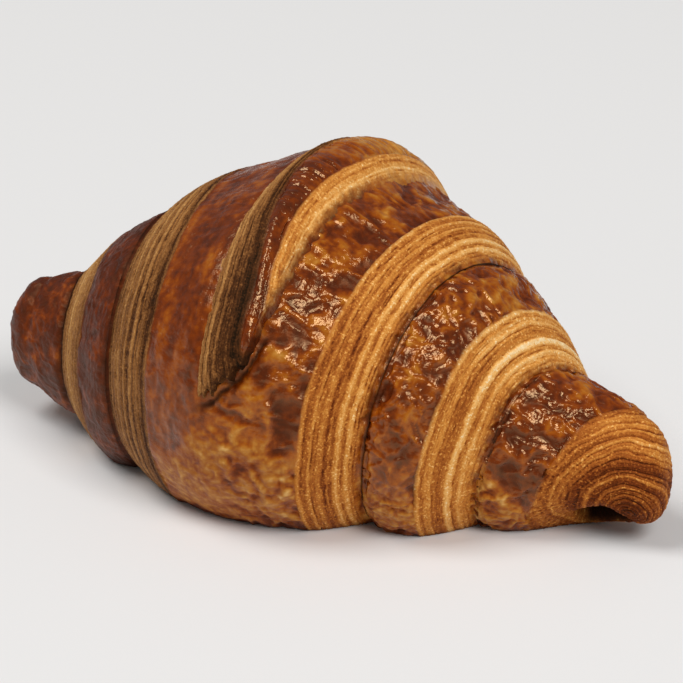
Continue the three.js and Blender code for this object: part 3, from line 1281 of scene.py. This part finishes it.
class Sheet:
    """A material's node tree, with one way to add a node."""

    def __init__(self, name: str) -> None:
        """Make an empty material.

        Args:
            name: Name of the material.
        """
        self.material = bpy.data.materials.new(name)
        self.material.use_nodes = True
        self.tree = self.material.node_tree
        self.tree.nodes.clear()

    def add(self, kind: str, settings: dict[str, object],
            inputs: dict[str | int, object]) -> bpy.types.Node:
        """Add a node, set it up and link it.

        Args:
            kind: Blender's name of the node type.
            settings: Properties of the node; stops are pairs of a place and a hex colour.
            inputs: By socket name or number, a value or the output to link.

        Returns:
            The node.
        """
        node = self.tree.nodes.new(kind)
        stops = settings.get("stops", ())
        for key, value in settings.items():
            if key != "stops":
                setattr(node, key, value)
        for _ in stops[2:]:
            node.color_ramp.elements.new(0.5)
        for number, (place, code) in enumerate(stops):
            node.color_ramp.elements[number].position = place
            node.color_ramp.elements[number].color = linear(code)
        for key, value in inputs.items():
            if isinstance(value, bpy.types.NodeSocket):
                self.tree.links.new(value, node.inputs[key])
            else:
                node.inputs[key].default_value = value
        return node


@dataclass(frozen=True)
class BakedDough:
    """Baked laminated wheat dough with an egg wash.

    The washed skin is amber to nearly black brown and has small sharp highlights. The bare layers
    of a cut are matt and dry, straw to gold, with darker gaps and sandy crumbs; those that look
    left are painted greyer and darker, as shade. Crevices and the rim on the floor take a painted
    shade colour. A tone or bake from 0 to 1 picks the colour. Sizes are in mm; the crumbs and
    specks are a little coarser than real ones, so that they show.
    """

    skin: tuple[tuple[float, str], ...] = (
        (0.0, "d8a760"), (0.2, "ba7c30"), (0.36, "a66015"), (0.5, "924505"), (0.64, "732c02"),
        (0.78, "541b03"), (0.92, "401404"), (1.0, "2e0d04"))
    layers: tuple[tuple[float, str], ...] = (
        (0.0, "2a1205"), (0.2, "6b2e0e"), (0.4, "a45b22"), (0.6, "cf883b"), (0.8, "edb569"),
        (1.0, "f6dcac"))
    # Layer colours painted greyer and darker, as shade, for faces that look left.
    shaded_layers: tuple[tuple[float, str], ...] = (
        (0.0, "140c06"), (0.2, "452914"), (0.4, "875b31"), (0.6, "b2834d"), (0.8, "d1ad7a"),
        (1.0, "e8d2ac"))
    # Colour of the painted shade in crevices and of the dark rim on the floor.
    shade_and_rim_colour: str = "1c0a05"
    glaze: str = "ffd6a2"
    crumb_size: float = 0.36
    speck_size: float = 0.5
    patch_size: float = 1.5
    # How far patches shift the bake and crumbs the tone, and what specks add on gold layers and
    # on layers painted in shade.
    patch_bake: tuple[float, float] = (-0.12, 0.12)
    crumb_tone: tuple[float, float] = (-0.11, 0.09)
    speck_tone: tuple[float, float] = (0.22, 0.08)
    # Middle part of a noise that is spread over such a range, and where specks begin and are full.
    noise_middle: tuple[float, float] = (0.25, 0.75)
    speck_part: tuple[float, float] = (0.58, 0.7)
    skin_roughness: tuple[float, float] = (0.08, 0.22)
    layer_roughness: float = 0.62
    # Specular level and strength of the crumbs' bump, each on dry layers and on glossy skin.
    specular: tuple[float, float] = (0.12, 0.85)
    crumb_strength: tuple[float, float] = (0.6, 0.04)
    crumb_height: float = 0.25
    crinkle_height: float = 0.32

    def make(self) -> bpy.types.Material:
        """Build the material.

        Returns:
            A material that reads the marks of the wraps.
        """
        sheet = Sheet("baked_dough")
        mark = {key: sheet.add("ShaderNodeAttribute", {"attribute_name": key}, {}).outputs["Fac"]
                for key in ("cut", "tone", "left_shade", "bake", "gloss", "dark")}
        place = sheet.add("ShaderNodeTexCoord", {}, {}).outputs["Object"]
        crumbs, specks, patches = (
            sheet.add("ShaderNodeTexNoise", {}, {
                "Vector": place, "Scale": 1.0 / MM / size, "Detail": detail}).outputs["Fac"]
            for size, detail in ((self.crumb_size, 3.0), (self.speck_size, 1.0),
                                 (self.patch_size, 3.0)))
        glossy = sheet.add("ShaderNodeMath", {"operation": "SUBTRACT", "use_clamp": True},
                           {0: mark["gloss"], 1: mark["cut"]}).outputs[0]
        patch_bake, crumb_tone, smooth_skin = (
            sheet.add("ShaderNodeMapRange", {"clamp": False}, {
                "Value": value, "From Min": self.noise_middle[0], "From Max": self.noise_middle[1],
                "To Min": ends[0], "To Max": ends[1]}).outputs["Result"]
            for value, ends in ((patches, self.patch_bake), (crumbs, self.crumb_tone),
                                (patches, self.skin_roughness)))
        brightest, shine, strength = (
            sheet.add("ShaderNodeMapRange", {}, {
                "Value": value, "To Min": ends[0], "To Max": ends[1]}).outputs["Result"]
            for value, ends in ((mark["left_shade"], self.speck_tone), (glossy, self.specular),
                                (glossy, self.crumb_strength)))
        speck_tone = sheet.add("ShaderNodeMapRange", {}, {
            "Value": specks, "From Min": self.speck_part[0], "From Max": self.speck_part[1],
            "To Max": brightest}).outputs["Result"]
        skin_tone, plain_tone = (
            sheet.add("ShaderNodeMath", {"operation": "ADD"}, {0: value, 1: shift}).outputs[0]
            for value, shift in ((mark["bake"], patch_bake), (mark["tone"], crumb_tone)))
        layer_tone = sheet.add("ShaderNodeMath", {"operation": "ADD"},
                               {0: plain_tone, 1: speck_tone}).outputs[0]
        skin, gold, left_shade = (
            sheet.add("ShaderNodeValToRGB", {"stops": stops}, {"Fac": value}).outputs["Color"]
            for value, stops in ((skin_tone, self.skin), (layer_tone, self.layers),
                                 (layer_tone, self.shaded_layers)))
        # Gold layers or layers painted in shade, then skin or layers, then painted shade and the
        # dark rim over both.
        layers = sheet.add("ShaderNodeMix", {"data_type": "RGBA"},
                           {"Factor": mark["left_shade"], 6: gold, 7: left_shade}).outputs[2]
        mixed = sheet.add("ShaderNodeMix", {"data_type": "RGBA"},
                          {"Factor": mark["cut"], 6: skin, 7: layers}).outputs[2]
        colour = sheet.add("ShaderNodeMix", {"data_type": "RGBA"},
                           {"Factor": mark["dark"], 6: mixed, 7: linear(self.shade_and_rim_colour)}).outputs[2]
        rough = sheet.add("ShaderNodeMix", {"data_type": "FLOAT"}, {
            "Factor": glossy, 2: self.layer_roughness, 3: smooth_skin}).outputs[0]
        crinkled = sheet.add("ShaderNodeBump", {}, {
            "Height": patches, "Strength": glossy,
            "Distance": self.crinkle_height * MM}).outputs["Normal"]
        bump = sheet.add("ShaderNodeBump", {}, {
            "Height": crumbs, "Strength": strength, "Distance": self.crumb_height * MM,
            "Normal": crinkled}).outputs["Normal"]
        shader = sheet.add("ShaderNodeBsdfPrincipled", {}, {
            "Base Color": colour, "Roughness": rough, "Normal": bump,
            "Specular IOR Level": shine, "Specular Tint": linear(self.glaze)})
        sheet.add("ShaderNodeOutputMaterial", {}, {"Surface": shader.outputs[0]})
        return sheet.material


@dataclass(frozen=True)
class Croissant:
    """All the wraps, from the tips to the outermost one: form, layers and skins."""

    form: RollForm = RollForm()
    right_layers: Plies = Plies(
        (1.2, 0.7, 1.3, 0.9, 1.1, 0.7, 0.9, 0.5, 1.9, 0.4, 1.4, 0.8, 1.0, 0.8),
        (0.47, 0.41, 0.49, 0.39, 0.47, 0.33, 0.41, 0.31, 0.75, 0.45, 0.67, 0.53, 0.45, 0.39))
    second_right_layers: Plies = Plies(
        (1.0, 0.7, 1.1, 0.8, 0.8, 1.6, 0.4, 1.2, 0.9, 0.8, 0.7),
        (0.58, 0.50, 0.60, 0.47, 0.45, 0.81, 0.51, 0.71, 0.57, 0.51, 0.45))
    end_layers: Plies = Plies(
        (1.2, 1.1, 1.3, 0.9, 1.4, 0.8, 1.3, 0.9, 1.2, 0.9, 1.5, 0.7, 1.2, 0.9, 1.1, 0.8, 1.1, 0.9,
         0.9, 0.8, 0.8),
        (0.40, 0.32, 0.44, 0.34, 0.46, 0.50, 0.35, 0.51, 0.41, 0.46, 0.16, 0.36, 0.44, 0.28,
         0.36, 0.26, 0.32, 0.22, 0.26, 0.18, 0.14))
    third_left_layers: Plies = Plies(
        (1.2, 0.8, 1.3, 1.0, 1.2, 0.8, 1.0, 1.2, 0.8, 1.2, 1.0, 1.1),
        (0.30, 0.24, 0.40, 0.30, 0.46, 0.32, 0.48, 0.40, 0.50, 0.34, 0.44, 0.32))
    second_left_layers: Plies = Plies(
        (0.9, 1.0, 0.9, 1.0, 0.9, 1.0, 0.9), (0.46, 0.38, 0.54, 0.48, 0.60, 0.50, 0.34))
    outer_left_layers: Plies = Plies(
        (1.0, 1.0, 0.9, 1.1, 1.0, 0.8, 1.1, 1.0, 0.9, 0.9),
        (0.06, 0.12, 0.14, 0.22, 0.28, 0.34, 0.46, 0.44, 0.54, 0.44))
    outer_right_layers: Plies = Plies(
        (1.0, 0.7, 1.2, 0.6, 1.3, 0.8, 1.4), (0.52, 0.64, 0.55, 0.70, 0.60, 0.70, 0.55),
        ridge=0.12)
    tip_left_skin: SkinFinish = SkinFinish(
        bake=0.82, patch=0.28, blister=0.5, blister_size=4.0, seed=11, calm_left=0.3,
        darkest=0.92, gloss=0.4)
    second_left_skin: SkinFinish = SkinFinish(
        bake=0.85, patch=0.28, blister=0.5, blister_size=3.6, seed=12, calm_left=0.5,
        pale_border=((-50.0, -0.9), (-30.0, -0.7)), darkest=0.92, gloss=0.42)
    third_skin: SkinFinish = SkinFinish(
        bake=0.63, patch=0.24, blister=0.85, blister_size=4.7, seed=13, wrinkle=0.2,
        calm_left=0.7, calm_bake=0.08,
        pale_border=((-34.0, -0.7), (-22.0, -0.34), (-12.0, -0.04), (4.0, 0.04), (12.0, -0.15)))
    second_right_skin: SkinFinish = SkinFinish(
        bake=0.68, patch=0.24, blister=0.66, blister_size=3.6, seed=14, painted_top_bake=-0.12,
        pale_border=((20.0, -0.22), (32.0, -0.18)))
    tip_right_skin: SkinFinish = SkinFinish(
        bake=0.74, patch=0.22, blister=0.66, blister_size=4.0, seed=25, painted_top_bake=-0.14,
        pale_border=((40.0, 0.0), (44.0, -0.12), (47.0, -0.35), (50.0, -0.8)))
    # Its top is painted much lighter, for the light and hazy reflection from above and behind.
    outer_skin: SkinFinish = SkinFinish(
        bake=0.76, patch=0.16, blister=0.08, blister_size=4.2, seed=16, wrinkle=0.7,
        wrinkle_from=1.0, painted_top_bake=-0.44, top_from=1.35)

    def wraps(self) -> list[Wrap]:
        """List the wraps.

        Returns:
            Every wrap, ready to build.
        """
        form = self.form
        return [
            Tip(form, Rows(500), self.tip_left_skin, Side.LEFT, self.end_layers),
            SecondWrap(form, Rows(540), self.second_left_skin, Side.LEFT,
                       self.second_left_layers),
            ThirdWrap(form, Rows(520), self.third_skin, self.third_left_layers,
                      self.right_layers),
            SecondWrap(form, Rows(620), self.second_right_skin, Side.RIGHT,
                       self.second_right_layers),
            Tip(form, Rows(560), self.tip_right_skin, Side.RIGHT, self.end_layers),
            OuterWrap(form, Rows(560), self.outer_skin, self.outer_left_layers,
                      self.outer_right_layers),
        ]

    def build(self, material: bpy.types.Material) -> None:
        """Make every wrap and hand it to the frame.

        Args:
            material: What they are baked of.
        """
        for wrap in self.wraps():
            piece = wrap.build()
            piece.data.materials.append(material)
            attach(piece, "root")
            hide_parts("croissant")
            log.info("%s: %d faces", piece.name, len(piece.data.polygons))


@dataclass(frozen=True)
class Softbox:
    """A square lamp that faces the croissant: direction from there, metres and watts."""

    name: str
    direction: tuple[float, float, float]
    away: float
    size: float
    power: float


@dataclass(frozen=True)
class Studio:
    """A plain pale floor, soft light and the camera; sizes in metres."""

    floor_half: float = 4.0
    floor_colour: str = "e5e4e3"
    world_colour: str = "f2f1f0"
    world_strength: float = 0.24
    azimuth: float = 26.8
    elevation: float = 23.3
    distance: float = 0.65
    lens: float = 174.8
    softboxes: tuple[Softbox, ...] = (
        Softbox("key", (0.60, -0.40, 0.74), 4.0, 1.7, 94.0),
        Softbox("overhead", (-0.36, -0.30, 0.86), 4.0, 1.8, 85.0))
    target: tuple[float, float, float] = (0.0, 0.0, 0.030)
    shift_right: float = 0.00026
    shift_up: float = -0.00311

    def floor(self) -> None:
        """Lay the floor just under the croissant."""
        s = self.floor_half
        mesh = bpy.data.meshes.new("floor")
        mesh.from_pydata([(-s, -s, 0), (s, -s, 0), (s, s, 0), (-s, s, 0)], [], [(0, 1, 2, 3)])
        floor = bpy.data.objects.new("floor", mesh)
        bpy.context.scene.collection.objects.link(floor)
        sheet = Sheet("pale_floor")
        shader = sheet.add("ShaderNodeBsdfPrincipled", {}, {
            "Base Color": linear(self.floor_colour), "Roughness": 0.9, "Specular IOR Level": 0.1})
        sheet.add("ShaderNodeOutputMaterial", {}, {"Surface": shader.outputs[0]})
        mesh.materials.append(sheet.material)

    def lamp(self, box: Softbox) -> None:
        """Hang a softbox that faces the croissant.

        Args:
            box: Its place, size and power.
        """
        data = bpy.data.lights.new(box.name, "AREA")
        data.shape = "SQUARE"
        data.size = box.size
        data.energy = box.power
        lamp = bpy.data.objects.new(box.name, data)
        towards = Vector(box.direction).normalized()
        lamp.location = Vector(self.target) + towards * box.away
        lamp.rotation_euler = towards.to_track_quat("Z", "Y").to_euler()
        bpy.context.scene.collection.objects.link(lamp)

    def light(self) -> None:
        """Set the world and the softboxes."""
        world = bpy.data.worlds.new("studio")
        world.use_nodes = True
        back = world.node_tree.nodes["Background"]
        back.inputs["Color"].default_value = linear(self.world_colour)
        back.inputs["Strength"].default_value = self.world_strength
        bpy.context.scene.world = world
        for box in self.softboxes:
            self.lamp(box)

    def camera(self) -> None:
        """Look at the croissant from the right and from above."""
        a, e = math.radians(self.azimuth), math.radians(self.elevation)
        right = Vector((math.cos(a), math.sin(a), 0.0))
        up = Vector((-math.sin(a) * math.sin(e), math.cos(a) * math.sin(e), math.cos(e)))
        back = Vector((math.sin(a) * math.cos(e), -math.cos(a) * math.cos(e), math.sin(e)))
        data = bpy.data.cameras.new("camera")
        data.lens = self.lens
        data.sensor_width = 36.0
        data.clip_start = 0.05
        camera = bpy.data.objects.new("camera", data)
        at = Vector(self.target) + right * self.shift_right + up * self.shift_up
        turn = Matrix((right, up, back)).transposed().to_4x4()
        camera.matrix_world = Matrix.Translation(at + back * self.distance) @ turn
        bpy.context.scene.collection.objects.link(camera)
        bpy.context.scene.camera = camera

    def build(self) -> None:
        """Set everything up."""
        self.camera()
        self.floor()
        self.light()
        bpy.context.scene.view_settings.view_transform = "Standard"


def main() -> None:
    """Build the studio and the croissant."""
    logging.basicConfig(level=logging.INFO, format="%(name)s: %(message)s")
    Studio().build()
    Croissant().build(BakedDough().make())


if __name__ == "__main__":
    main()
